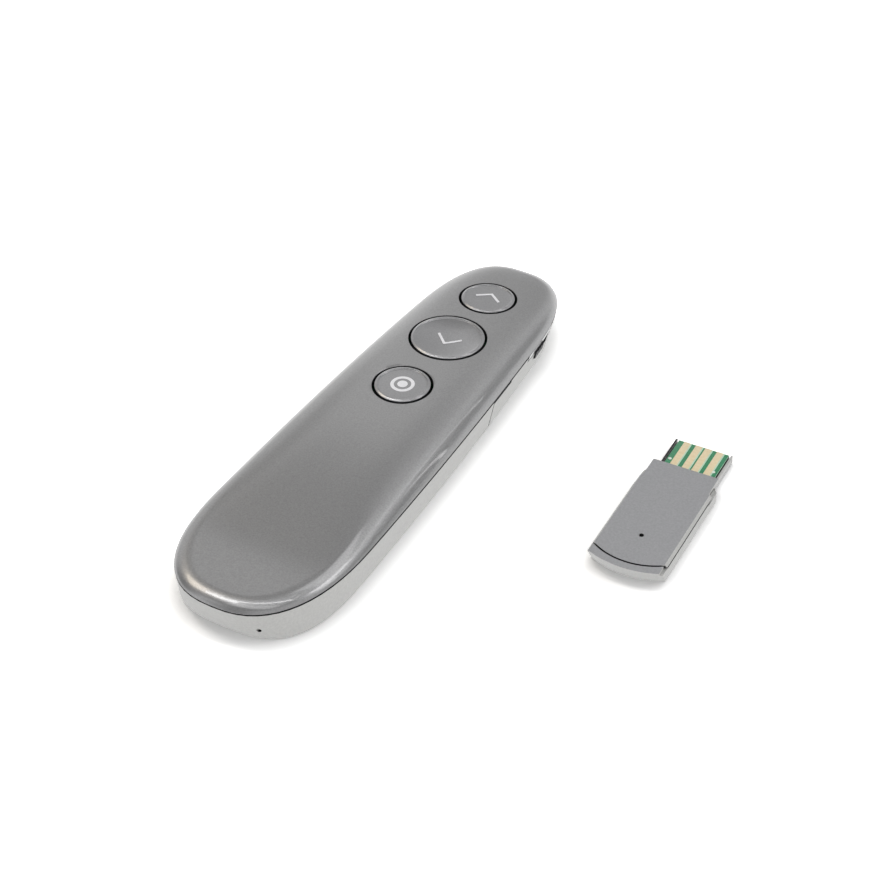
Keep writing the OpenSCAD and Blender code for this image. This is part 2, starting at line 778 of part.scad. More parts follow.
// Plate against the cell's side
module contact_positive() {
    foot_z = cell_z + cell_t * 0.1;
    color("#D8D8D0") {
        at(0, positive_st + contact_t / 2, foot_z) block(contact_w, contact_t, deck_z - fit_gap - foot_z);
        strip(0, positive_st, foot_z);
    }
}

// Plate over the middle of the cell
module contact_negative() {
    plate_z = deck_z - contact_t - fit_gap;
    color("#D8D8D0") {
        at(negative_x - strip_w / 2, cell_st - contact_w / 2, plate_z)
            cube([contact_w - negative_x, contact_w, contact_t]);
        strip(negative_x, cell_st - contact_t / 2, plate_z);
    }
}

// ---- boards and switches ---------------------------------------------------

module main_board() {
    color("#1F6B45") difference() {
        translate([0, 0, board_z + fit_gap / 2])
            round_plate(board_w, board_st, board_end_st, board_r, board_t - fit_gap / 2);
        screw_holes(front_screws, hole_d, board_z - 1, board_top + 1);
    }
}

module on_board(x, st) at(x, st, board_top + fit_gap / 2) children();

tact_floor = 0.2;                       // floor of a tact switch under its bore

module tact(b) {
    on_board(0, b[0]) difference() {
        union() {
            color("#2B2B2B") block(tact_w, tact_w, tact_h * 0.7);
            color("silver") block(tact_w - 0.3, tact_w - 0.3, tact_h - fit_gap);
        }
        translate([0, 0, tact_floor]) cylinder(d = plunger_d + 2 * fit_gap, h = tact_h);
    }
}

module tact_up() tact(up);
module tact_down() tact(down);
module tact_spot() tact(spot);

// Plunger, from inside its switch up to the cap's post
module plunger(b) {
    bottom = board_top + fit_gap + tact_floor + button_travel;
    color("#4A4A4A") at(0, b[0], bottom) cylinder(d = plunger_d, h = plunger_top - bottom - fit_gap);
}

module plunger_up() plunger(up);
module plunger_down() plunger(down);
module plunger_spot() plunger(spot);

between_buttons = (spot_st + down_st) / 2 - 1;

module radio_chip() color("#202124") on_board(chip_x, between_buttons) block(chip_w, chip_w, chip_h);

module crystal() color("silver") on_board(-chip_x, between_buttons) block(crystal_w, crystal_l, crystal_h);

module antenna() color("#E9E4D6") on_board(0, board_end_st - 1.1) block(antenna_l, antenna_w, crystal_h);

// Case with an open slot towards the knob
module power_switch() {
    window_l = lever_w + knob_travel + 2 * slide_gap;
    color("silver") difference() {
        at(switch_x, slot_st, board_z - switch_h)
            block(switch_w, window_l + 2 * switch_wall, switch_h - fit_gap);
        at(switch_x - switch_w / 4, slot_st - window_l / 2, lever_z - lever_t / 2 - slide_gap)
            cube([switch_w, window_l, lever_t + 2 * slide_gap]);
    }
}

module power_lever() {
    from = switch_x - switch_w / 4 + slide_gap;
    color("#3A3A3A") at(from, knob_st - lever_w / 2, lever_z - lever_t / 2)
        cube([knob_x - fit_gap - from, lever_w, lever_t]);
}

// Knob that follows the shell's flank, with grip grooves across it
module power_knob() {
    pitch = knob_l / (knob_grooves + 1);
    groove = 0.4;
    color("#55575A") difference() {
        intersection() {
            hull_body(-knob_proud, 0, shell_z);
            at(knob_x, knob_st - knob_l / 2, knob_z - knob_h / 2) cube([clicker_w, knob_l, knob_h]);
        }
        for (i = [1:knob_grooves])
            at(flank_x(knob_st, knob_z), knob_st - knob_l / 2 + i * pitch - groove / 2, 0)
            cube([clicker_w, groove, seam_z]);
    }
}

// ---- laser -------------------------------------------------------------------

lens_seat = 1.2;                        // how far the lens lies inside the barrel
can_d = barrel_bore_d - 2 * fit_gap;

module laser_barrel() {
    color("#B08D3E") along(barrel_end - barrel_l, laser_z) rotate_extrude()
        translate([barrel_bore_d / 2, 0]) square([(barrel_d - barrel_bore_d) / 2, barrel_l]);
}

module laser_lens() {
    color("#CFE3EA") along(barrel_end - lens_seat - window_t, laser_z)
        cylinder(d = can_d, h = window_t);
}

// Can with its base flange, at the back of the barrel
module laser_diode() {
    color("#C8B560") along(barrel_end - barrel_l + fit_gap, laser_z) {
        cylinder(d = can_d, h = 1);
        cylinder(d = can_d * 0.75, h = can_d);
    }
}

module laser_window() {
    color("#2A0C10") along(window_end - window_t, laser_z) cylinder(d = window_d, h = window_t);
}

// ---- receiver -----------------------------------------------------------------

// Its own frame: Y runs from the cover's edge at the lip to the plug
module receiver_frame() {
    translate([rx_x, rx_st - half_l, 0]) rotate(rx_turn) children();
}

// Disc whose near edge meets the lip's corners, or the cover's
module lip_disc(r) translate([0, rx_lip_r - rx_lip - rx_lip_bow]) circle(r, $fn = 128);
module cover_disc(r) translate([0, rx_arc_r - rx_bow]) circle(r, $fn = 128);

// Outline of the cover's face, with its bowed edge, made wider by grow
module cover_outline(grow) {
    w = rx_top_w + 2 * grow;
    intersection() {
        translate([-w / 2, -rx_bow]) square([w, rx_cover_l + rx_bow]);
        union() {
            cover_disc(rx_arc_r);
            translate([-w / 2, rx_arc_r - rx_bow]) square([w, rx_cover_l]);
        }
    }
}

module receiver_cover() {
    foot_z = rx_body_h + fit_gap;
    slope = (rx_w - rx_top_w) / 2 - fit_gap;
    color("#9A9B9D") receiver_frame() difference() {
        translate([0, 0, foot_z]) linear_extrude(rx_h - foot_z) cover_outline(slope);
        // Sloped long sides
        both_sides() translate([rx_top_w / 2, -rx_lip, rx_h])
            rotate([0, -atan(slope / (rx_h - foot_z)), 0]) translate([0, 0, -rx_h])
            cube([rx_w, rx_length, 2 * rx_h]);
        // Narrower neck by the plug
        both_sides() translate([rx_neck_w / 2, rx_cover_l - rx_neck_l, 0])
            cube([rx_w, rx_neck_l + 1, rx_h + 1]);
        translate([0, rx_light_st, 0]) cylinder(d = rx_light_d, h = rx_h + 1, $fn = 32);
    }
}

module receiver_base() {
    tray_l = rx_cover_l + rx_plug_l - rx_body_l;
    body_from = -rx_bow - rx_groove - rx_lip;
    lip_back = rx_lip_r - rx_lip - rx_lip_bow;
    color("#C4C4C2") receiver_frame() difference() {
        union() {
            intersection() {
                union() {
                    // Deep body, rounded by the neck
                    linear_extrude(rx_body_h) {
                        translate([-rx_w / 2, body_from]) square([rx_w, rx_body_l - body_from - rx_corner_r]);
                        translate([-rx_w / 2 + rx_corner_r, body_from])
                            square([rx_w - 2 * rx_corner_r, rx_body_l - body_from]);
                        both_sides() translate([rx_w / 2 - rx_corner_r, rx_body_l - rx_corner_r])
                            circle(rx_corner_r);
                    }
                    // Lip, level with the cover's face
                    translate([0, 0, rx_h - rx_lip_t]) linear_extrude(rx_lip_t) difference() {
                        translate([-rx_top_w / 2, body_from])
                            square([rx_top_w, -body_from]);
                        cover_disc(rx_arc_r + rx_groove);
                    }
                }
                // Front that slopes back towards the table
                translate([0, lip_back, 0])
                    cylinder(r1 = rx_lip_r - rx_lip_cut, r2 = rx_lip_r, h = rx_h, $fn = 128);
            }
            // Tray under the plug's board
            translate([-rx_tray_w / 2, rx_body_l - rx_corner_r, rx_tray_lift])
                cube([rx_tray_w, tray_l + rx_corner_r, rx_board_z - rx_tray_lift]);
        }
        both_sides() {
            translate([rx_w / 2 - 2 * rx_groove, rx_slot_st, rx_body_h - rx_groove])
                cube([rx_w, rx_slot_l, rx_groove + 1]);
            translate([rx_w / 2 - rx_groove, -rx_length, 0]) rotate([0, 45, 0])
                cube([rx_w, 3 * rx_length, rx_w]);
        }
        // Hollow for the board and the parts on it, open at the top
        translate([-rx_board_w / 2 - rx_board_gap, rx_board_st - fit_gap, rx_floor_z])
            cube([rx_board_w + 2 * rx_board_gap, rx_length, rx_h]);
    }
}

module receiver_board() {
    color("#2F8A5B") receiver_frame() translate([-rx_board_w / 2, rx_board_st, rx_board_z - rx_board_t])
        cube([rx_board_w, rx_cover_l + rx_plug_l - rx_board_st - fit_gap, rx_board_t]);
}

// Something that stands on the receiver's board
module on_receiver_board(x, y, w, l, h) {
    receiver_frame() translate([x, y, rx_board_z + eps]) block(w, l, h);
}

module receiver_pads() {
    color("#D9C48E") for (d = [-outer_pads, -inner_pads, inner_pads, outer_pads])
        on_receiver_board(d / 2, rx_cover_l + rx_plug_l / 2 - pad_w / 2, pad_w, rx_plug_l, pad_t);
}

module receiver_chip() color("#202124") on_receiver_board(0, rx_cover_l / 2, chip_w, chip_w, chip_h);

module receiver_light() color("#E6E2C8") on_receiver_board(0, rx_light_st, light_w, light_l, light_h);

// ---- assembly -----------------------------------------------------------------

top_cover();
front_shell();
battery_cover();
chassis();
button_up();
button_down();
button_spot();
plunger_up();
plunger_down();
plunger_spot();
tact_up();
tact_down();
tact_spot();
main_board();
radio_chip();
crystal();
antenna();
power_switch();
power_lever();
power_knob();
laser_barrel();
laser_diode();
laser_lens();
laser_window();
coin_cell();
contact_positive();
contact_negative();
screws();
receiver_cover();
receiver_base();
receiver_board();
receiver_pads();
receiver_chip();
receiver_light();
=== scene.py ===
import bpy
from math import atan, cos, hypot, pi, radians, sin, sqrt, tan
from mathutils import Matrix, Vector


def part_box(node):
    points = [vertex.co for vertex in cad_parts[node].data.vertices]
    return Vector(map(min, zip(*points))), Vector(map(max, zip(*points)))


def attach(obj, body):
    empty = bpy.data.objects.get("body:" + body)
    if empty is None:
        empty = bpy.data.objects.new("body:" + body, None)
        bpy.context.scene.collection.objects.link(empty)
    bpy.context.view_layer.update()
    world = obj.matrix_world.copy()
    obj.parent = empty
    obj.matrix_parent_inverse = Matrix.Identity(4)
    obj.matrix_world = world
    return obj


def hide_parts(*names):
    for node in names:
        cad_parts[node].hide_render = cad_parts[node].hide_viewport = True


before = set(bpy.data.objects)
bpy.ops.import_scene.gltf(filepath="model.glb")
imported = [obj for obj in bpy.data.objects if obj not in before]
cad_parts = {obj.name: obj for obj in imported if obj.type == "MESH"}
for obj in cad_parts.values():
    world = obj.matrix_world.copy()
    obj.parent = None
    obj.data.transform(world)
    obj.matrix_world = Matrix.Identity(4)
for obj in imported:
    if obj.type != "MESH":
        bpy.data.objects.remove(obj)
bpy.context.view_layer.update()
scene = bpy.context.scene
scene.view_settings.view_transform = "Standard"
mm = 0.001
print("frame loaded,", len(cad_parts), "nodes")


def deselectAll():
    bpy.ops.object.select_all(action="DESELECT")


def activate(obj):
    deselectAll()
    obj.select_set(True)
    bpy.context.view_layer.objects.active = obj


def applyModifiers(obj):
    activate(obj)
    for modifier in list(obj.modifiers):
        bpy.ops.object.modifier_apply(modifier=modifier.name)


# Each step runs in edit mode on the whole mesh
def inEditMode(obj, *steps):
    activate(obj)
    bpy.ops.object.mode_set(mode="EDIT")
    for step in steps:
        bpy.ops.mesh.select_all(action="SELECT")
        step()
    bpy.ops.object.mode_set(mode="OBJECT")


# Merges what lies within a distance (metres) and turns the faces outwards
def closeUp(obj, distance):
    inEditMode(obj,
               lambda: bpy.ops.mesh.remove_doubles(threshold=distance),
               lambda: bpy.ops.mesh.dissolve_degenerate(threshold=1e-7),
               lambda: bpy.ops.mesh.normals_make_consistent(inside=False))


def combine(obj, other, operation):
    modifier = obj.modifiers.new("combine", "BOOLEAN")
    modifier.operation = operation
    modifier.solver = "EXACT"
    modifier.object = other
    applyModifiers(obj)
    bpy.data.objects.remove(other, do_unlink=True)


# A block from its low corner to its high one, in mm
def block(name, low, high):
    deselectAll()
    bpy.ops.mesh.primitive_cube_add(size=1)
    obj = bpy.context.object
    obj.name = obj.data.name = name
    for vertex in obj.data.vertices:
        vertex.co = Vector([a if c < 0 else b for c, a, b in zip(vertex.co, low, high)]) * mm
    return obj


# A skin wrapped round in columns and rows: place(share of the way round, row) gives each point in mm
def wrapGrid(name, columns, rows, place):
    deselectAll()
    bpy.ops.mesh.primitive_grid_add(x_subdivisions=columns, y_subdivisions=rows, size=2)
    obj = bpy.context.object
    obj.name = obj.data.name = name
    for vertex in obj.data.vertices:
        u, v = (vertex.co.x + 1) / 2, (vertex.co.y + 1) / 2
        vertex.co = Vector(place(u, round(v * rows))) * mm
    closeUp(obj, 1e-7)
    return obj


# A turned piece: its profile of (radius, height) pairs in mm is spun round Z, then set in place
def turned(name, profile, steps, matrix):
    deselectAll()
    bpy.ops.mesh.primitive_circle_add(vertices=len(profile), radius=1)
    obj = bpy.context.object
    obj.name = obj.data.name = name
    inEditMode(obj, lambda: bpy.ops.mesh.delete(type="EDGE_FACE"))
    for vertex, (radius, height) in zip(obj.data.vertices, profile):
        vertex.co = (radius * mm, 0, height * mm)
    obj.data.edges.add(len(profile) - 1)
    for i, edge in enumerate(obj.data.edges):
        edge.vertices = (i, i + 1)
    inEditMode(obj, lambda: bpy.ops.mesh.spin(steps=steps, angle=2 * pi, axis=(0, 0, 1), center=(0, 0, 0)))
    closeUp(obj, 2e-7)
    obj.data.transform(matrix)
    return obj


def nodeMeshes(node):
    return [obj for obj in bpy.data.objects if obj.type == "MESH" and obj.name.split(".")[0] == node]


# Distance in metres, angles in degrees
softEdges = {"merge": 2e-6, "flatBelow": 0.6, "sharpAbove": 40, "segments": 2}


# A copy of a CAD node with its doubles merged and its edges rounded by a width in mm
def softened(node, width):
    deselectAll()
    for obj in nodeMeshes(node):
        obj.select_set(True)
        bpy.context.view_layer.objects.active = obj
    bpy.ops.object.duplicate()
    if len(bpy.context.selected_objects) > 1:
        bpy.ops.object.join()
    obj = bpy.context.object
    obj.name = obj.data.name = node + "_skin"
    inEditMode(obj,
               lambda: bpy.ops.mesh.remove_doubles(threshold=softEdges["merge"]),
               lambda: bpy.ops.mesh.dissolve_limited(angle_limit=radians(softEdges["flatBelow"])))
    bevel = obj.modifiers.new("softEdges", "BEVEL")
    bevel.width, bevel.segments = width * mm, softEdges["segments"]
    bevel.limit_method, bevel.angle_limit = "ANGLE", radians(softEdges["sharpAbove"])
    bevel.use_clamp_overlap = True
    applyModifiers(obj)
    return obj


# Material, smooth shading, the body it rides on, and the nodes it stands for, which are hidden
def finish(obj, material, body, nodes=(), angle=30):
    obj.data.materials.clear()
    obj.data.materials.append(material)
    activate(obj)
    bpy.ops.object.shade_smooth_by_angle(angle=radians(angle))
    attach(obj, body)
    if nodes:
        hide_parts(*nodes)


# Gives one more material to the faces whose middle (mm) and normal pass the test
def paint(obj, material, test):
    obj.data.materials.append(material)
    for face in obj.data.polygons:
        if test(face.center / mm, face.normal):
            face.material_index = len(obj.data.materials) - 1


# Large flat faces stay evenly shaded beside their rounded edges
def evenShading(obj):
    weighted = obj.modifiers.new("evenShading", "WEIGHTED_NORMAL")
    weighted.keep_sharp = True
    applyModifiers(obj)


# Turns an sRGB hex colour to linear
def linear(hexColour):
    channels = [int(hexColour[i:i + 2], 16) / 255 for i in (1, 3, 5)]
    return [c / 12.92 if c <= 0.04045 else ((c + 0.055) / 1.055) ** 2.4 for c in channels] + [1]


# Sockets are given by name, with _ for a space, or by number as in0, in1
def addNode(material, kind, settings={}, **sockets):
    node = material.node_tree.nodes.new(kind)
    for name, value in settings.items():
        setattr(node, name, value)
    for name, value in sockets.items():
        socket = node.inputs[int(name[2:]) if name.startswith("in") else name.replace("_", " ")]
        if isinstance(value, bpy.types.NodeSocket):
            material.node_tree.links.new(value, socket)
        else:
            socket.default_value = value
    return node


def newMaterial(name, colour, metallic, roughness, **sockets):
    material = bpy.data.materials.new(name)
    material.use_nodes = True
    shader = material.node_tree.nodes["Principled BSDF"]
    shader.inputs["Base Color"].default_value = linear(colour)
    shader.inputs["Metallic"].default_value = metallic
    shader.inputs["Roughness"].default_value = roughness
    for socket, value in sockets.items():
        shader.inputs[socket.replace("_", " ")].default_value = value
    return material


grain = {"detail": 2, "roughness": 0.6, "from": 0.3, "to": 0.7, "relief": 0.2}


# Speckle of two colours and a bump of the same grain, size in mm
def speckle(material, low, high, size, bump):
    shader = material.node_tree.nodes["Principled BSDF"]
    place = addNode(material, "ShaderNodeTexCoord")
    noise = addNode(material, "ShaderNodeTexNoise", Vector=place.outputs["Object"],
                    Scale=1 / (size * mm), Detail=grain["detail"], Roughness=grain["roughness"])
    share = addNode(material, "ShaderNodeMapRange", Value=noise.outputs["Fac"],
                    From_Min=grain["from"], From_Max=grain["to"])
    mix = addNode(material, "ShaderNodeMix", {"data_type": "RGBA"}, in0=share.outputs["Result"],
                  in6=linear(low), in7=linear(high))
    raised = addNode(material, "ShaderNodeBump", Height=noise.outputs["Fac"],
                     Strength=bump, Distance=size * mm * grain["relief"])
    material.node_tree.links.new(mix.outputs[2], shader.inputs["Base Color"])
    material.node_tree.links.new(raised.outputs["Normal"], shader.inputs["Normal"])


# ABS sprayed with grey metallic lacquer under a clear coat: fine flake, wet gloss
coverLacquer = newMaterial("greyMetallicLacquer", "#A0A0A1", 0.8, 0.34, Coat_Weight=1, Coat_Roughness=0.03)
speckle(coverLacquer, "#989899", "#A9A9AA", 0.3, 0.04)

# The same lacquer on the caps
capLacquer = newMaterial("greyMetallicLacquerCaps", "#A1A1A3", 0.8, 0.34, Coat_Weight=1, Coat_Roughness=0.03)
speckle(capLacquer, "#99999B", "#A9A9AB", 0.3, 0.04)

# ABS with satin silver lacquer: pale, soft sheen, hardly any texture
shellLacquer = newMaterial("satinSilverLacquer", "#CACAC8", 0.45, 0.42)
speckle(shellLacquer, "#C6C6C4", "#D0D0CE", 0.5, 0.03)

# Receiver's cover: darker satin lacquer with a soft grain
receiverLacquer = newMaterial("satinGreyLacquer", "#ABACAF", 0.5, 0.45)
speckle(receiverLacquer, "#A5A6A9", "#B2B3B6", 0.4, 0.08)

# Receiver's base: satin silver like the shells
receiverSilver = newMaterial("satinSilverReceiver", "#C8C8C6", 0.45, 0.4)
speckle(receiverSilver, "#C2C2C0", "#CFCFCD", 0.4, 0.04)

# Moulded black ABS, fine spark-eroded texture; also painted on cap sides, hole walls, seams, slots and gaps
# as painted shade
blackAbsAndShade = newMaterial("mouldedBlackAbsAndShade", "#242527", 0, 0.5)
speckle(blackAbsAndShade, "#202123", "#2B2C2E", 0.3, 0.1)

# Moulded grey ABS of the chassis, dull
greyAbs = newMaterial("mouldedGreyAbs", "#4A4B4D", 0, 0.55)
speckle(greyAbs, "#444547", "#515254", 0.5, 0.1)

# Dark grey ABS of the knob, moulded with a fine grain that rubs a little shiny
darkAbs = newMaterial("mouldedDarkAbs", "#303134", 0, 0.38)
speckle(darkAbs, "#2B2C2F", "#37383B", 0.25, 0.08)

# Glass-fibre laminate under green solder mask: glossy, weave just visible
boardGreen = newMaterial("greenSolderMask", "#25895B", 0, 0.28, Coat_Weight=0.4)
speckle(boardGreen, "#218052", "#309668", 0.45, 0.05)

# Cut edge of the glass-fibre laminate, pale and slightly rough
laminate = newMaterial("cutLaminate", "#C8E6D0", 0, 0.5)
speckle(laminate, "#BCE0C6", "#D4ECDA", 0.3, 0.06)

# Nickel and gold plate on copper: warm, bright
goldPlate = newMaterial("goldPlatedCopper", "#F4E2BC", 0.2, 0.38)
speckle(goldPlate, "#F0DDB4", "#F8E8C6", 0.6, 0.04)

# Tinned copper of the plated holes: bright and soft
tinned = newMaterial("tinnedCopper", "#E6F2E6", 0.2, 0.35)
speckle(tinned, "#DFEEE0", "#F0F8F0", 0.2, 0.05)

# Turned brass of the laser's barrel, bright
brass = newMaterial("turnedBrass", "#C9A862", 1, 0.28)
speckle(brass, "#C09D57", "#D1B26E", 0.8, 0.03)

# Nickel-plated steel: contacts, cans and screws
nickel = newMaterial("nickelPlatedSteel", "#B9B7B1", 1, 0.3)
speckle(nickel, "#B1AFA9", "#C3C1BB", 0.6, 0.03)

# Stainless steel case of the coin cell, satin
cellSteel = newMaterial("satinStainless", "#C4C6C7", 1, 0.32)
speckle(cellSteel, "#BBBDBE", "#CDCFD0", 0.7, 0.03)

# Black epoxy of the chips, matt
epoxy = newMaterial("blackEpoxy", "#1C1D1F", 0, 0.6)
speckle(epoxy, "#191A1C", "#232426", 0.3, 0.1)

# Fired ceramic of the antenna, off-white and matt
ceramic = newMaterial("firedCeramic", "#D9D6CB", 0, 0.55)
speckle(ceramic, "#D2CFC4", "#E0DDD3", 0.4, 0.05)

# Pad-printed white ink, dull and slightly raised
whiteInk = newMaterial("padPrintedWhite", "#EEEEF2", 0, 0.45)
speckle(whiteInk, "#EAEAEE", "#F4F4F7", 0.2, 0.05)

# Clear acrylic lens, slightly blue from its coating
acrylic = newMaterial("clearAcrylic", "#E8EEF2", 0, 0.05, Transmission_Weight=0.9, IOR=1.49)

# Red tinted acrylic window over the laser
redAcrylic = newMaterial("redTintedAcrylic", "#5A1216", 0, 0.06, Transmission_Weight=0.6, IOR=1.49)

# Water-clear epoxy of a small light
clearEpoxy = newMaterial("clearEpoxy", "#E6E2C8", 0, 0.15, Transmission_Weight=0.4)

# Nodes that keep their own mesh
nodeMaterials = {
    "chassis": greyAbs, "plunger_up": blackAbsAndShade, "plunger_down": blackAbsAndShade, "plunger_spot": blackAbsAndShade,
    "tact_up": blackAbsAndShade, "tact_down": blackAbsAndShade, "tact_spot": blackAbsAndShade, "main_board": boardGreen,
    "radio_chip": epoxy, "crystal": nickel, "antenna": ceramic, "power_switch": blackAbsAndShade,
    "power_lever": blackAbsAndShade, "laser_barrel": brass, "laser_diode": nickel, "laser_lens": acrylic,
    "laser_window": redAcrylic, "coin_cell": cellSteel, "contact_positive": nickel,
    "contact_negative": nickel, "screws": nickel, "receiver_chip": epoxy, "receiver_light": clearEpoxy,
}
for node, material in nodeMaterials.items():
    for obj in nodeMeshes(node):
        for materialSlot in obj.material_slots:
            materialSlot.material = material
print("materials made")


# Outline of the clicker, sizes in mm, stations counted from its back end
clicker = {"length": 120.8, "width": 34.1, "widestAt": 17, "waist": 0.345,
           "backLength": 28.2, "backPower": 2.5, "noseLength": 24.2, "nosePower": 2.9,
           "seamZ": 7.6, "seamGap": 0.3, "rimHeight": 1.8, "rimWidth": 3.2,
           "crownHeight": 3.5, "crestAt": 75.5, "crownFall": 1.05, "crownPower": 5,
           "crownSoft": 0.15, "crownSpan": 60, "wall": 1.5}
halfLength = clicker["length"] / 2


def endRound(distance, length, power):
    if distance >= length:
        return 1
    return 0 if distance <= 0 else (1 - ((length - distance) / length) ** power) ** (1 / power)


# Half the width at the seam, drawn in by inset
def seamHalf(st, inset=0):
    along = (st - clicker["widestAt"]) / clicker["length"]
    bow = clicker["width"] / 2 * (1 - clicker["waist"] * along ** 2)
    return ((bow - inset)
            * endRound(st - inset, clicker["backLength"] - inset, clicker["backPower"])
            * endRound(clicker["length"] - inset - st, clicker["noseLength"] - inset, clicker["nosePower"]))


# Height of the cover's middle line above its rim
def crown(st):
    fall = 1 - clicker["crownFall"] * ((st - clicker["crestAt"]) / clicker["crownSpan"]) ** 2
    return clicker["crownHeight"] * (fall + sqrt(fall ** 2 + clicker["crownSoft"] ** 2)) / 2


def crest(st):
    return clicker["seamZ"] + clicker["rimHeight"] + crown(st)


# Point of the middle line from which the rows run out to a station of the outline
def fanFrom(st):
    return clicker["width"] / 2 + st * (clicker["length"] - clicker["width"]) / clicker["length"]


# Top cover: a closed skin with a wall and a rounded lower edge
coverSteps = {"columns": 240, "top": 16, "rim": 14, "edge": 3, "inner": 10,
              "edgeRadius": 0.15, "innerRise": 4}


def coverPoint(u, row):
    top, rim, edge, radius = (coverSteps[key] for key in ("top", "rim", "edge", "edgeRadius"))
    rimShare = 1 - 2 * clicker["rimWidth"] / clicker["width"]
    lowest = clicker["seamZ"] + clicker["seamGap"] / 2
    below = -clicker["seamZ"]                        # so low that the foot decides
    inset, drop, foot = 0, 0, lowest
    if row <= top:                                   # from the crest line out
        s, lift = rimShare * sin(row / top * pi / 2), clicker["rimHeight"]
    elif row <= top + rim:                           # down the rim
        turn = (1 - (row - top) / rim) * pi / 2
        s, lift = 1 - (1 - rimShare) * (1 - cos(turn)), clicker["rimHeight"] * sin(turn)
        foot = lowest + radius
    elif row <= top + rim + edge:                    # round the lower edge
        turn = (row - top - rim) / edge * pi / 2
        s, lift = 1, below
        inset = radius * (1 - cos(turn))
        foot = lowest + radius * (1 - sin(turn))
    else:                                            # back up inside the wall
        share = (row - top - rim - edge - 1) / coverSteps["inner"]
        s = cos(share * pi / 2)
        lift = clicker["rimHeight"] * min(1, share * coverSteps["innerRise"]) if share else below
        inset = drop = clicker["wall"]
    st = inset + (clicker["length"] - 2 * inset) * (1 - cos(2 * pi * u)) / 2
    x = seamHalf(st, inset) * (1 if u <= 0.5 else -1)
    at = fanFrom(st) + s * (st - fanFrom(st))
    z = clicker["seamZ"] + lift + crown(at) * (1 - s ** clicker["crownPower"]) - drop
    return s * x, at - halfLength, max(z, foot)


coverRows = sum(coverSteps[key] for key in ("top", "rim", "edge", "inner")) + 1
topCover = wrapGrid("top_cover_skin", coverSteps["columns"], coverRows, coverPoint)
print("top cover wrapped,", len(topCover.data.vertices), "vertices")


# Lower body: between the underside's outline and the seam's
body = {"width": 33, "waist": 0.36, "short": 3, "backLength": 24.6, "backPower": 3.1,
        "noseLength": 14, "nosePower": 2.2, "edge": 0.8, "leastEdge": 0.2, "wall": 1.3,
        "columns": 160, "edgeRows": 6}


# Half the width of the underside, drawn in by inset
def baseHalf(st, inset=0):
    bow = body["width"] / 2 * (1 - body["waist"] * (st / clicker["length"]) ** 2)
    fromBack, fromNose = st - body["short"], clicker["length"] - body["short"] - st
    return ((bow - inset) * endRound(fromBack - inset, body["backLength"] - inset, body["backPower"])
            * endRound(fromNose - inset, body["noseLength"] - inset, body["nosePower"]))


# Closed solid of the body, drawn in by inset, from floor to top
def bodySolid(name, inset, floor, top):
    radius = max(body["edge"] - inset / 2, body["leastEdge"])
    lastRow = body["edgeRows"] + 3

    def ringPoint(u, height, inward):
        share, side = height / clicker["seamZ"], 1 if u <= 0.5 else -1
        low, high = body["short"] + inset + inward, inset
        turn = (1 - cos(2 * pi * u)) / 2
        lowSt = low + (clicker["length"] - 2 * low) * turn
        highSt = high + (clicker["length"] - 2 * high) * turn
        x = baseHalf(lowSt, inset + inward) * (1 - share) + seamHalf(highSt, inset) * share
        return side * x, lowSt * (1 - share) + highSt * share

    def place(u, row):
        turn = min(max(row - 1, 0) / body["edgeRows"], 1) * pi / 2
        atTop = row >= lastRow - 1
        height = top if atTop else floor + radius * (1 - cos(turn))
        x, st = ringPoint(u, height, 0 if atTop else radius * (1 - sin(turn)))
        closing = row in (0, lastRow)
        return (0 if closing else x), (fanFrom(st) if closing else st) - halfLength, height

    return wrapGrid(name, body["columns"], lastRow, place)


# Tab of the top cover, down to the power switch's slot and as thick as the body's wall
knobLow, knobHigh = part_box("power_knob")
knob = {"from": knobLow[1] / mm, "to": knobHigh[1] / mm, "bottom": knobLow[2] / mm, "top": knobHigh[2] / mm,
        "travel": 2.8, "gap": 0.3}
tab = {"before": 3.6, "after": 1.3, "inner": 8, "outer": 30, "intoCover": 0.6, "pastSeam": 0.25, "clear": 2}
switchTab = block("switchTab",
                  (tab["inner"], knob["from"] - knob["gap"] - tab["before"], knob["top"] + knob["gap"]),
                  (tab["outer"], knob["to"] + knob["travel"] + knob["gap"] + tab["after"],
                   clicker["seamZ"] + tab["intoCover"]))
outside = bodySolid("outside", 0, 0, clicker["seamZ"] + tab["pastSeam"])
combine(switchTab, outside, "INTERSECT")
inside = bodySolid("inside", body["wall"], body["wall"], clicker["seamZ"] + tab["clear"])
combine(switchTab, inside, "DIFFERENCE")
combine(topCover, switchTab, "UNION")
print("tab joined to the cover")


# Caps, each in a hole along the crown's normal
caps = {
    "button_up": {"station": 103.6, "hole": 12.3, "dish": 0.25, "facet": 25},
    "button_down": {"station": 86.3, "hole": 16.2, "dish": 0.85, "facet": 23},
    "button_spot": {"station": 67.9, "hole": 12.3, "dish": 0.12, "facet": 21},
}
capForm = {"gap": 0.52, "lip": 0.2, "lipWidth": 0.7, "step": 0.2, "stepWidth": 0.2, "facetWidth": 0.3,
           "facetRows": (0, 0.1, 0.9, 1), "edge": 0.14, "crease": 0.02, "skirt": 1.2, "depth": 2.2,
           "faceWall": 1, "shadeBelow": 0.35, "upright": 0.5,
           "bowlSteps": 14, "stepSteps": 5, "turnSteps": 128}
holeForm = {"edge": 0.22, "flare": 0.2, "below": 3, "above": 2, "turnSteps": 96}
quarterSteps = 6
quarter = [i / quarterSteps * pi / 2 for i in range(quarterSteps + 1)]


# From a cap's own place, with Z along its axis, to its place on the crest
def capFrame(st):
    slope = crest(st + 0.5) - crest(st - 0.5)                   # over one millimetre
    onCrest = Vector((0, st - halfLength, crest(st))) * mm
    return Matrix.Translation(onCrest) @ Matrix.Rotation(atan(slope), 4, "X")


# Height of a cap's face at a distance from its middle, counted from the cover's crest
def faceZ(cap, radius):
    bowl = cap["hole"] / 2 - capForm["gap"] - capForm["lipWidth"]
    dip = (cap["dish"] - capForm["step"]) * (1 - min(1, radius / bowl) ** 2)
    return capForm["lip"] - capForm["step"] - dip


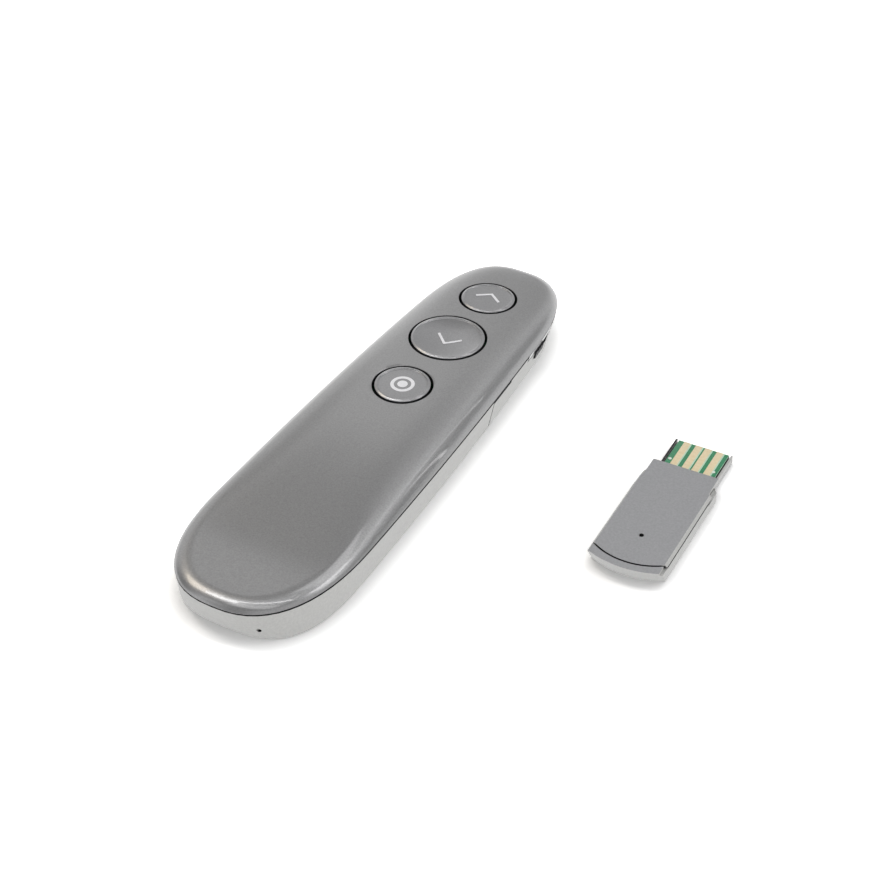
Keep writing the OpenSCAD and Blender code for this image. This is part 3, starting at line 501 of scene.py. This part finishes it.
def holeProfile(cap):
    r, edge = cap["hole"] / 2, holeForm["edge"]
    profile = [(0, -holeForm["below"]), (r, -holeForm["below"])]
    profile += [(r + edge * (1 - cos(t)), -edge + edge * sin(t)) for t in quarter]
    return profile + [(r + edge + holeForm["flare"], holeForm["above"]), (0, holeForm["above"])]


# Dished face, step, lip with its bright facet, rounded edge, side and hollow inside
def capProfile(cap):
    form, r = capForm, cap["hole"] / 2 - capForm["gap"]
    bowl, lip, edge = r - form["lipWidth"], form["lip"], form["edge"]
    profile = [(bowl * i / form["bowlSteps"], faceZ(cap, bowl * i / form["bowlSteps"]))
               for i in range(form["bowlSteps"] + 1)]
    profile += [(bowl + form["stepWidth"] * i / form["stepSteps"],
                 lip - form["step"] * (1 + cos(i / form["stepSteps"] * pi)) / 2)
                for i in range(1, form["stepSteps"] + 1)]
    fall = form["facetWidth"] * tan(radians(cap["facet"]))
    profile += [(r - edge - form["facetWidth"] * (1 - i), lip - fall * i) for i in form["facetRows"]]
    edgeTop = lip - fall - form["crease"]
    profile += [(r - edge * (1 - sin(t)), edgeTop - edge * (1 - cos(t))) for t in quarter[1:]]
    inside, ceiling = r - form["skirt"], lip - cap["dish"] - form["faceWall"]
    return profile + [(r, -form["depth"]), (inside, -form["depth"]), (inside, ceiling), (0, ceiling)]


for name, cap in caps.items():
    place = capFrame(cap["station"])
    combine(topCover, turned("hole", holeProfile(cap), holeForm["turnSteps"], place), "DIFFERENCE")
    face = turned(name + "_cap", capProfile(cap), capForm["turnSteps"], place)
    finish(face, capLacquer, name, [name], 40)
    # Each cap's side below its lip is painted black: painted shade in the gap round the cap
    axis = place.to_3x3() @ Vector((0, 0, 1))
    sideTop = crest(cap["station"]) - capForm["shadeBelow"]
    paint(face, blackAbsAndShade, lambda at, normal: abs(normal.dot(axis)) < capForm["upright"] and at.z < sideTop)
finish(topCover, coverLacquer, "clicker", ["top_cover"], 35)
print("caps and holes made")


# Signs printed on the caps: arrow heads as a bent strip, a ring and a dot
sign = {"stroke": 0.56, "raised": 0.02, "depth": 0.05, "columns": 24, "ringOut": 2.45, "ringIn": 1.74,
        "ringRows": 3, "ringSteps": 72, "dot": 1.05, "dotDepth": 0.07, "dotSteps": 48}
arrows = {"button_up": {"reach": 2.7, "ends": -0.35, "apex": 1.7},
          "button_down": {"reach": 2.7, "ends": 1.08, "apex": -1.47}}


def printed(obj, button):
    obj.data.transform(capFrame(caps[button]["station"]))
    finish(obj, whiteInk, button)


for button, arrow in arrows.items():
    lean = Vector((arrow["reach"], arrow["apex"] - arrow["ends"])).normalized()

    def alongArrow(u, row):
        share, side = 1 - abs(2 * u - 1), sign["stroke"] / 2 * (1 if row else -1)
        endX, endY = arrow["reach"] + lean.y * side, arrow["ends"] + lean.x * side
        apexY = arrow["apex"] + side / lean.x
        x, y = endX * (1 - share), endY * (1 - share) + apexY * share
        return (x if u > 0.5 else -x), y, faceZ(caps[button], hypot(x, y)) + sign["raised"]

    strip = wrapGrid(button + "_sign", sign["columns"], 1, alongArrow)
    solid = strip.modifiers.new("inkDepth", "SOLIDIFY")
    solid.thickness, solid.offset = sign["depth"] * mm, -1
    applyModifiers(strip)
    printed(strip, button)

spotCap = caps["button_spot"]
ringWidth = sign["ringOut"] - sign["ringIn"]
radii = [sign["ringIn"] + ringWidth * i / sign["ringRows"] for i in range(sign["ringRows"] + 1)]
over = [(r, faceZ(spotCap, r) + sign["raised"]) for r in radii]
under = [(sign["ringOut"], over[-1][1] - sign["depth"]), (sign["ringIn"], over[0][1] - sign["depth"])]
printed(turned("button_spot_ring", over + under + over[:1], sign["ringSteps"], Matrix()), "button_spot")
high = faceZ(spotCap, 0) + sign["raised"]
low = high - sign["dotDepth"]
dot = [(0, high), (sign["dot"], high), (sign["dot"], low), (0, low)]
printed(turned("button_spot_dot", dot, sign["dotSteps"], Matrix()), "button_spot")
print("signs printed")


# Faces of the cover painted black, bare moulding inside and painted shade on the holes' walls and the lower
# edge: sizes in mm, a share of the wall, and how far a face looks down or up
bareAndShade = {"holeMargin": 0.12, "holeTop": -0.15, "wallHalf": 0.4, "wallShare": 0.6, "down": -0.9, "up": 0.2}


# True where a face looks into the cover: its inner side, its lower edge or a hole's wall. The inner side is
# bare moulding; the lower edge and the hole walls carry painted shade
def insideAndShadeOfCover(at, normal):
    for cap in caps.values():
        inCap = capFrame(cap["station"]).inverted() @ (at * mm) / mm
        if hypot(inCap.x, inCap.y) < cap["hole"] / 2 + bareAndShade["holeMargin"] and inCap.z < bareAndShade["holeTop"]:
            return True
    st = at.y + halfLength
    ceiling = clicker["seamZ"] + clicker["rimHeight"] + crown(st) - clicker["wall"] * bareAndShade["wallShare"]
    inside = abs(at.x) < seamHalf(st, bareAndShade["wallHalf"]) and at.z < ceiling
    return normal.z < bareAndShade["down"] or inside and normal.z < bareAndShade["up"]


# Painted black: bare inside, painted shade along the seam and round the caps
paint(topCover, blackAbsAndShade, insideAndShadeOfCover)
print("cover's inside left bare")


# Lower shells: rounded copies whose inner sides stay bare and whose seam ledge, split faces and switch slot
# carry painted shade, by place in mm and by facing
split = (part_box("front_shell")[0][1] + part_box("battery_cover")[1][1]) / 2 / mm
within = {"slotX": 8, "slotMargin": 0.4, "slotFacing": 0.8, "inward": -0.1, "up": 0.7, "bottom": 0.25,
          "splitMargin": 0.3, "splitFacing": 0.9, "floorTop": 0.5, "sideWall": 2.5}


# True where a shell's face looks inwards, up at the cover, across the split line or into the switch slot:
# bare moulding inside, painted shade in the seam, the split and the slot
def insideAndShadeOfShell(at, normal):
    st = at.y + halfLength
    outwards = normal.dot(Vector((at.x, st - fanFrom(st), 0)).normalized())
    margin, half = within["slotMargin"], min(baseHalf(st), seamHalf(st))
    inSlot = (at.x > within["slotX"] and knob["from"] - margin < at.y < knob["to"] + knob["travel"] + margin
              and knob["bottom"] - margin < at.z < knob["top"] + margin)
    lookingUp = normal.z > within["up"] and at.z > within["bottom"]
    acrossSplit = abs(at.y - split) < within["splitMargin"] and abs(normal.y) > within["splitFacing"]
    aboveFloor = at.z > within["floorTop"] and abs(at.x) < half - within["sideWall"]
    return (inSlot and outwards < within["slotFacing"] or outwards < within["inward"]
            or lookingUp or acrossSplit or aboveFloor)


for node, rides in {"front_shell": "clicker", "battery_cover": "battery_cover"}.items():
    shell = softened(node, 0.1)
    finish(shell, shellLacquer, rides, [node])
    # Black on the inner sides, and painted shade along the seam, the split and the slot
    paint(shell, blackAbsAndShade, insideAndShadeOfShell)
    evenShading(shell)
print("shells softened")


# Power switch's knob, cut back on its hidden side, clear of the shell's inner wall (mm)
knobClear = 0.06
knobSkin = softened("power_knob", 0.1)
inEditMode(knobSkin, lambda: bpy.ops.mesh.bisect(
    plane_co=(knobLow[0] + knobClear * mm, 0, 0), plane_no=(1, 0, 0), threshold=1e-7,
    clear_inner=True, use_fill=True))
finish(knobSkin, darkAbs, "power_knob", ["power_knob"])
evenShading(knobSkin)
print("knob made")


# Receiver: sizes in mm, counted from the middle of its cover's near edge
receiver = {"x": 57.2, "y": -6.5, "turn": 2.3, "height": 3.9, "bodyHeight": 3.0, "coverLength": 28.1,
            "plugLength": 10.2, "boardTop": 1.9, "lipWidth": 0.4, "plateEdge": 0.02, "padWidth": 1.4,
            "padHeight": 0.06, "pads": (-3.5, -1, 1, 3.5), "padStart": 0.02, "padStop": 0.16,
            "paleStripWidth": 0.28}
platedHoles = {"places": ((-4.81, 31.9), (4.47, 31.85)), "radius": 0.36, "flat": 0.8, "rise": 0.05,
               "rim": 0.02, "turnSteps": 24}
# Where painted shade darkens the seams and the tray, and where the lip's top lies, in mm, and how far a face
# looks one way
seams = {"lipTop": 0.1, "parting": 0.16, "partingFrom": 0.3, "grooveFrom": 1.5, "grooveHalf": 7,
         "leftWall": -5.3, "rightWall": 6, "rightInner": 5.75, "trayHalf": 5.4,
         "shelf": 0.2, "coverEdge": 0.12}
facingWays = {"square": 0.9, "mostly": 0.5, "leaning": 0.3}
onReceiver = (Matrix.Translation(Vector((receiver["x"], receiver["y"], 0)) * mm)
              @ Matrix.Rotation(radians(receiver["turn"]), 4, "Z"))


# Middle and normal of a receiver's face in the receiver's own frame
def fromReceiver(at, normal):
    return (onReceiver.inverted() @ (at * mm)) / mm, onReceiver.to_3x3().inverted() @ normal


def sideways(at, normal):
    return fromReceiver(at, normal)[1].x


def lipTop(at, normal):
    spot, facing = fromReceiver(at, normal)
    return facing.z > facingWays["square"] and spot.z > receiver["height"] - seams["lipTop"]


# Painted shade in black: the parting line under the cover, the groove behind the lip, and the tray's inside
# beside the plug
def shadeOnReceiverBase(at, normal):
    spot, facing = fromReceiver(at, normal)
    mostly, leaning = facingWays["mostly"], facingWays["leaning"]
    parting = (abs(spot.z - receiver["bodyHeight"]) < seams["parting"] and spot.y > seams["partingFrom"]
               and facing.z > mostly)
    groove = (facing.y > mostly and spot.y < 0 and spot.z > seams["grooveFrom"]
              and abs(spot.x) < seams["grooveHalf"])
    leftWall = spot.x < seams["leftWall"] and (facing.z > leaning or facing.x > leaning)
    rightWall = 0 < spot.x < seams["rightWall"] and (facing.x < -leaning or spot.x < seams["rightInner"])
    inTray = leftWall or rightWall or abs(spot.x) < seams["trayHalf"]
    return parting or groove or spot.y > receiver["coverLength"] and inTray


# Painted shade in black: the cover's foot along the parting line and its near wall over the groove
def shadeOnReceiverCover(at, normal):
    spot, facing = fromReceiver(at, normal)
    return (spot.z < receiver["bodyHeight"] + seams["shelf"]
            or facing.y < -facingWays["mostly"] and spot.z < receiver["height"] - seams["coverEdge"])


receiverBase = softened("receiver_base", 0.1)
inEditMode(receiverBase, lambda: bpy.ops.mesh.bisect(
    plane_co=onReceiver @ Vector((0, receiver["lipWidth"] * mm, 0)),
    plane_no=onReceiver.to_3x3() @ Vector((0, 1, 0))))
finish(receiverBase, receiverSilver, "receiver", ["receiver_base"])
paint(receiverBase, receiverLacquer, lipTop)
paint(receiverBase, blackAbsAndShade, shadeOnReceiverBase)
evenShading(receiverBase)
receiverCover = softened("receiver_cover", 0.08)
finish(receiverCover, receiverLacquer, "receiver", ["receiver_cover"])
paint(receiverCover, receiverSilver, lambda at, normal: abs(sideways(at, normal)) > facingWays["mostly"])
paint(receiverCover, blackAbsAndShade, shadeOnReceiverCover)
evenShading(receiverCover)
receiverBoard = softened("receiver_board", 0.1)
finish(receiverBoard, boardGreen, "receiver", ["receiver_board"])
# The board's upright sides are painted black as painted shade; its leaning bevels take the pale cut-laminate
# colour
paint(receiverBoard, blackAbsAndShade, lambda at, normal: abs(sideways(at, normal)) > facingWays["square"])
paint(receiverBoard, laminate,
      lambda at, normal: facingWays["leaning"] < sideways(at, normal) <= facingWays["square"])


# Thin plates on the board's end, each from a corner to a corner and bevelled
def plates(name, corners, material, nodes=()):
    made = [block("plate", low, high) for low, high in corners]
    for plate in made:
        plate.select_set(True)
    bpy.ops.object.join()
    obj = bpy.context.object
    obj.name = obj.data.name = name
    bevel = obj.modifiers.new("plateEdges", "BEVEL")
    bevel.width, bevel.segments = receiver["plateEdge"] * mm, 2
    applyModifiers(obj)
    obj.data.transform(onReceiver)
    finish(obj, material, "receiver", nodes)


top, thick, paleStrip = receiver["boardTop"], receiver["padHeight"], receiver["paleStripWidth"]
begin = receiver["coverLength"] + receiver["padStart"]
end = receiver["coverLength"] + receiver["plugLength"] - receiver["padStop"]
padSides = [(x - receiver["padWidth"] / 2, x + receiver["padWidth"] / 2) for x in receiver["pads"]]
plates("receiver_pad_plates", [((left, begin, top), (right, end, top + thick)) for left, right in padSides],
       goldPlate, ["receiver_pads"])
# A pale strip, half a pad thick, along the right side of each pad
plates("receiver_pad_solder",
       [((right, begin, top), (right + paleStrip, end, top + thick / 2)) for left, right in padSides], laminate)

r, high, low = platedHoles["radius"], top + platedHoles["rise"], top - platedHoles["rim"]
rivet = [(0, high), (r * platedHoles["flat"], high), (r, high - platedHoles["rim"]), (r, low), (0, low)]
for i, (x, y) in enumerate(platedHoles["places"]):
    place = onReceiver @ Matrix.Translation(Vector((x, y, 0)) * mm)
    via = turned("receiver_via_" + str(i + 1), rivet, platedHoles["turnSteps"], place)
    finish(via, tinned, "receiver")
print("receiver dressed")


# Camera: its place in mm and its lens
view = {"place": (173.2, -283.8, 270.23), "toward": (-0.3866, 0.6794, -0.6236), "lens": 88.35, "sensor": 36}
camera = bpy.data.objects.new("camera", bpy.data.cameras.new("camera"))
scene.collection.objects.link(camera)
camera.location = Vector(view["place"]) * mm
camera.rotation_euler = Vector(view["toward"]).to_track_quat("-Z", "Y").to_euler()
camera.data.lens = view["lens"]
camera.data.sensor_width = view["sensor"]
scene.camera = camera

# White paper sweep: matt, and plain white where no shadow falls on it
paper = {"size": 6, "seen": 1.85, "unseen": "#E8E8E8", "mirrored": 1.0,
         "contact": 4.5, "contactFrom": 0.5, "contactLevel": 0.62, "contactSamples": 8}
deselectAll()
bpy.ops.mesh.primitive_plane_add(size=paper["size"], location=(0, 0, 0))
floor = bpy.context.object
floor.name = "floor"
sweep = bpy.data.materials.new("whitePaperSweep")
sweep.use_nodes = True
sweep.node_tree.nodes.clear()
floor.data.materials.append(sweep)
ray = addNode(sweep, "ShaderNodeLightPath")
seen = addNode(sweep, "ShaderNodeMath", {"operation": "MAXIMUM"}, in0=ray.outputs["Is Camera Ray"],
               in1=ray.outputs["Is Transmission Ray"])
# The dark line of contact within a few mm of an edge, over and above the lamps' soft shadow
around = addNode(sweep, "ShaderNodeAmbientOcclusion", {"samples": paper["contactSamples"]},
                 Distance=paper["contact"] * mm)
clear = addNode(sweep, "ShaderNodeMapRange", Value=around.outputs["AO"], From_Min=paper["contactFrom"],
                From_Max=1, To_Min=paper["contactLevel"], To_Max=1)
lit = addNode(sweep, "ShaderNodeVectorMath", {"operation": "SCALE"}, in0=(paper["seen"],) * 3,
              Scale=clear.outputs["Result"])
tone = addNode(sweep, "ShaderNodeMix", {"data_type": "RGBA"}, in0=seen.outputs[0],
               in6=linear(paper["unseen"]), in7=lit.outputs["Vector"])
diffuse = addNode(sweep, "ShaderNodeBsdfDiffuse", Color=tone.outputs[2])
mirrored = addNode(sweep, "ShaderNodeEmission", Color=linear("#FFFFFF"), Strength=paper["mirrored"])
fromAbove = addNode(sweep, "ShaderNodeMixShader", in0=ray.outputs["Is Glossy Ray"],
                    in1=diffuse.outputs[0], in2=mirrored.outputs[0])
# From below the floor is clear, so that the underside can be looked at
facingSide = addNode(sweep, "ShaderNodeNewGeometry")
fromBelow = addNode(sweep, "ShaderNodeBsdfTransparent")
sided = addNode(sweep, "ShaderNodeMixShader", in0=facingSide.outputs["Backfacing"],
                in1=fromAbove.outputs[0], in2=fromBelow.outputs[0])
addNode(sweep, "ShaderNodeOutputMaterial", Surface=sided.outputs[0])

# Room: its levels by height and from left to right; the camera itself sees plain white
room = {"horizon": 1.22, "top": 0.05, "rampFrom": 0.66, "rampTo": 0.83,
        "left": 0.93, "right": 0.57, "half": 0.5}
# Softer and darker parts of the room, each round a direction, from full to none in degrees
patches = [
    {"toward": (-0.1, -0.9, 0.4), "full": 16, "none": 32, "level": 0.35},
    {"toward": (0.72, 0.68, 0.12), "full": 6, "none": 24, "level": 0.25},
    {"toward": (-0.9, -0.15, 0.4), "full": 14, "none": 38, "level": 0.3},
    {"toward": (-0.72, 0.43, 0.53), "full": 8, "none": 22, "level": 0.25},
    {"toward": (-0.2, 0.9, 0.34), "full": 8, "none": 30, "level": 0.5},
    {"toward": (-0.387, 0.42, 0.82), "full": 4, "none": 14, "level": 0.2},
    {"toward": (-0.85, 0.45, 0.25), "full": 6, "none": 26, "level": 0.75},
]
world = bpy.data.worlds.new("studio") if scene.world is None else scene.world
scene.world = world
world.use_nodes = True
world.node_tree.nodes.clear()
ray = addNode(world, "ShaderNodeLightPath")
direction = addNode(world, "ShaderNodeTexCoord").outputs["Generated"]
parts = addNode(world, "ShaderNodeSeparateXYZ", Vector=direction)
height = addNode(world, "ShaderNodeMapRange", Value=parts.outputs["Z"], From_Min=room["rampFrom"],
                 From_Max=room["rampTo"], To_Min=room["horizon"], To_Max=room["top"])
aside = addNode(world, "ShaderNodeMapRange", Value=parts.outputs["X"], From_Min=-room["half"],
                From_Max=room["half"], To_Min=room["left"], To_Max=room["right"])
level = addNode(world, "ShaderNodeMath", {"operation": "MULTIPLY"}, in0=height.outputs["Result"],
                in1=aside.outputs["Result"]).outputs[0]
for patch in patches:
    near = addNode(world, "ShaderNodeVectorMath", {"operation": "DOT_PRODUCT"}, in0=direction,
                   in1=Vector(patch["toward"]).normalized())
    share = addNode(world, "ShaderNodeMapRange", {"interpolation_type": "SMOOTHSTEP"},
                    Value=near.outputs["Value"],
                    From_Min=cos(radians(patch["none"])), From_Max=cos(radians(patch["full"])))
    level = addNode(world, "ShaderNodeMix", {"data_type": "FLOAT"}, in0=share.outputs["Result"],
                    in2=level, in3=patch["level"]).outputs[0]
shown = addNode(world, "ShaderNodeMix", {"data_type": "FLOAT"}, in0=ray.outputs["Is Camera Ray"],
                in2=level, in3=1.0)
sky = addNode(world, "ShaderNodeBackground", Color=linear("#FFFFFF"), Strength=shown.outputs[0])
addNode(world, "ShaderNodeOutputWorld", Surface=sky.outputs[0])

# Lamps one metre away, sizes in metres: a level is what a mirror would show, 1 being white
softboxes = [
    {"name": "softboxAbove", "toward": (-0.02, 0.08, 0.99), "size": (1.0, 0.055), "level": 7},
    {"name": "softboxCorner", "toward": (0.58, 0.33, 0.745), "size": (0.36, 0.22), "level": 3.2},
    {"name": "softboxEnd", "toward": (0.79, 0.3, 0.53), "size": (0.2, 0.26), "level": 1.8},
    {"name": "softboxBeside", "toward": (0.16, 0.44, 0.885), "size": (0.5, 0.2), "level": 1.9},
    {"name": "softboxNear", "toward": (0.1, -0.28, 0.95), "size": (0.9, 0.34), "level": 1.3},
    {"name": "softboxLips", "toward": (-0.39, -0.06, 0.92), "size": (0.26, 0.16), "level": 6},
    {"name": "softboxWarm", "toward": (-0.62, 0.05, 0.78), "size": (0.36, 0.3), "level": 3,
     "colour": "#FFF1DC"},
    {"name": "stripMiddle", "toward": (0.58, 0.68, 0.45), "size": (0.012, 0.5), "level": 3.5},
    {"name": "stripFar", "toward": (0.7, 0.68, 0.22), "size": (0.012, 0.4), "level": 4},
]
overheadFrom = 0.85
for softbox in softboxes:
    width, depth = softbox["size"]
    lamp = bpy.data.lights.new(softbox["name"], "AREA")
    lamp.shape, lamp.size, lamp.size_y = "RECTANGLE", width, depth
    lamp.color = linear(softbox.get("colour", "#FFFFFF"))[:3]
    lamp.energy = softbox["level"] * pi * width * depth
    obj = bpy.data.objects.new(softbox["name"], lamp)
    scene.collection.objects.link(obj)
    obj.location = Vector(softbox["toward"]).normalized()
    overhead = abs(obj.location.z) >= overheadFrom
    side = Vector((1, 0, 0)) if overhead else Vector((0, 0, 1)).cross(obj.location)
    side = (side - side.dot(obj.location) * obj.location).normalized()
    obj.rotation_euler = Matrix((side, obj.location.cross(side), obj.location)).transposed().to_euler()
print("studio set")
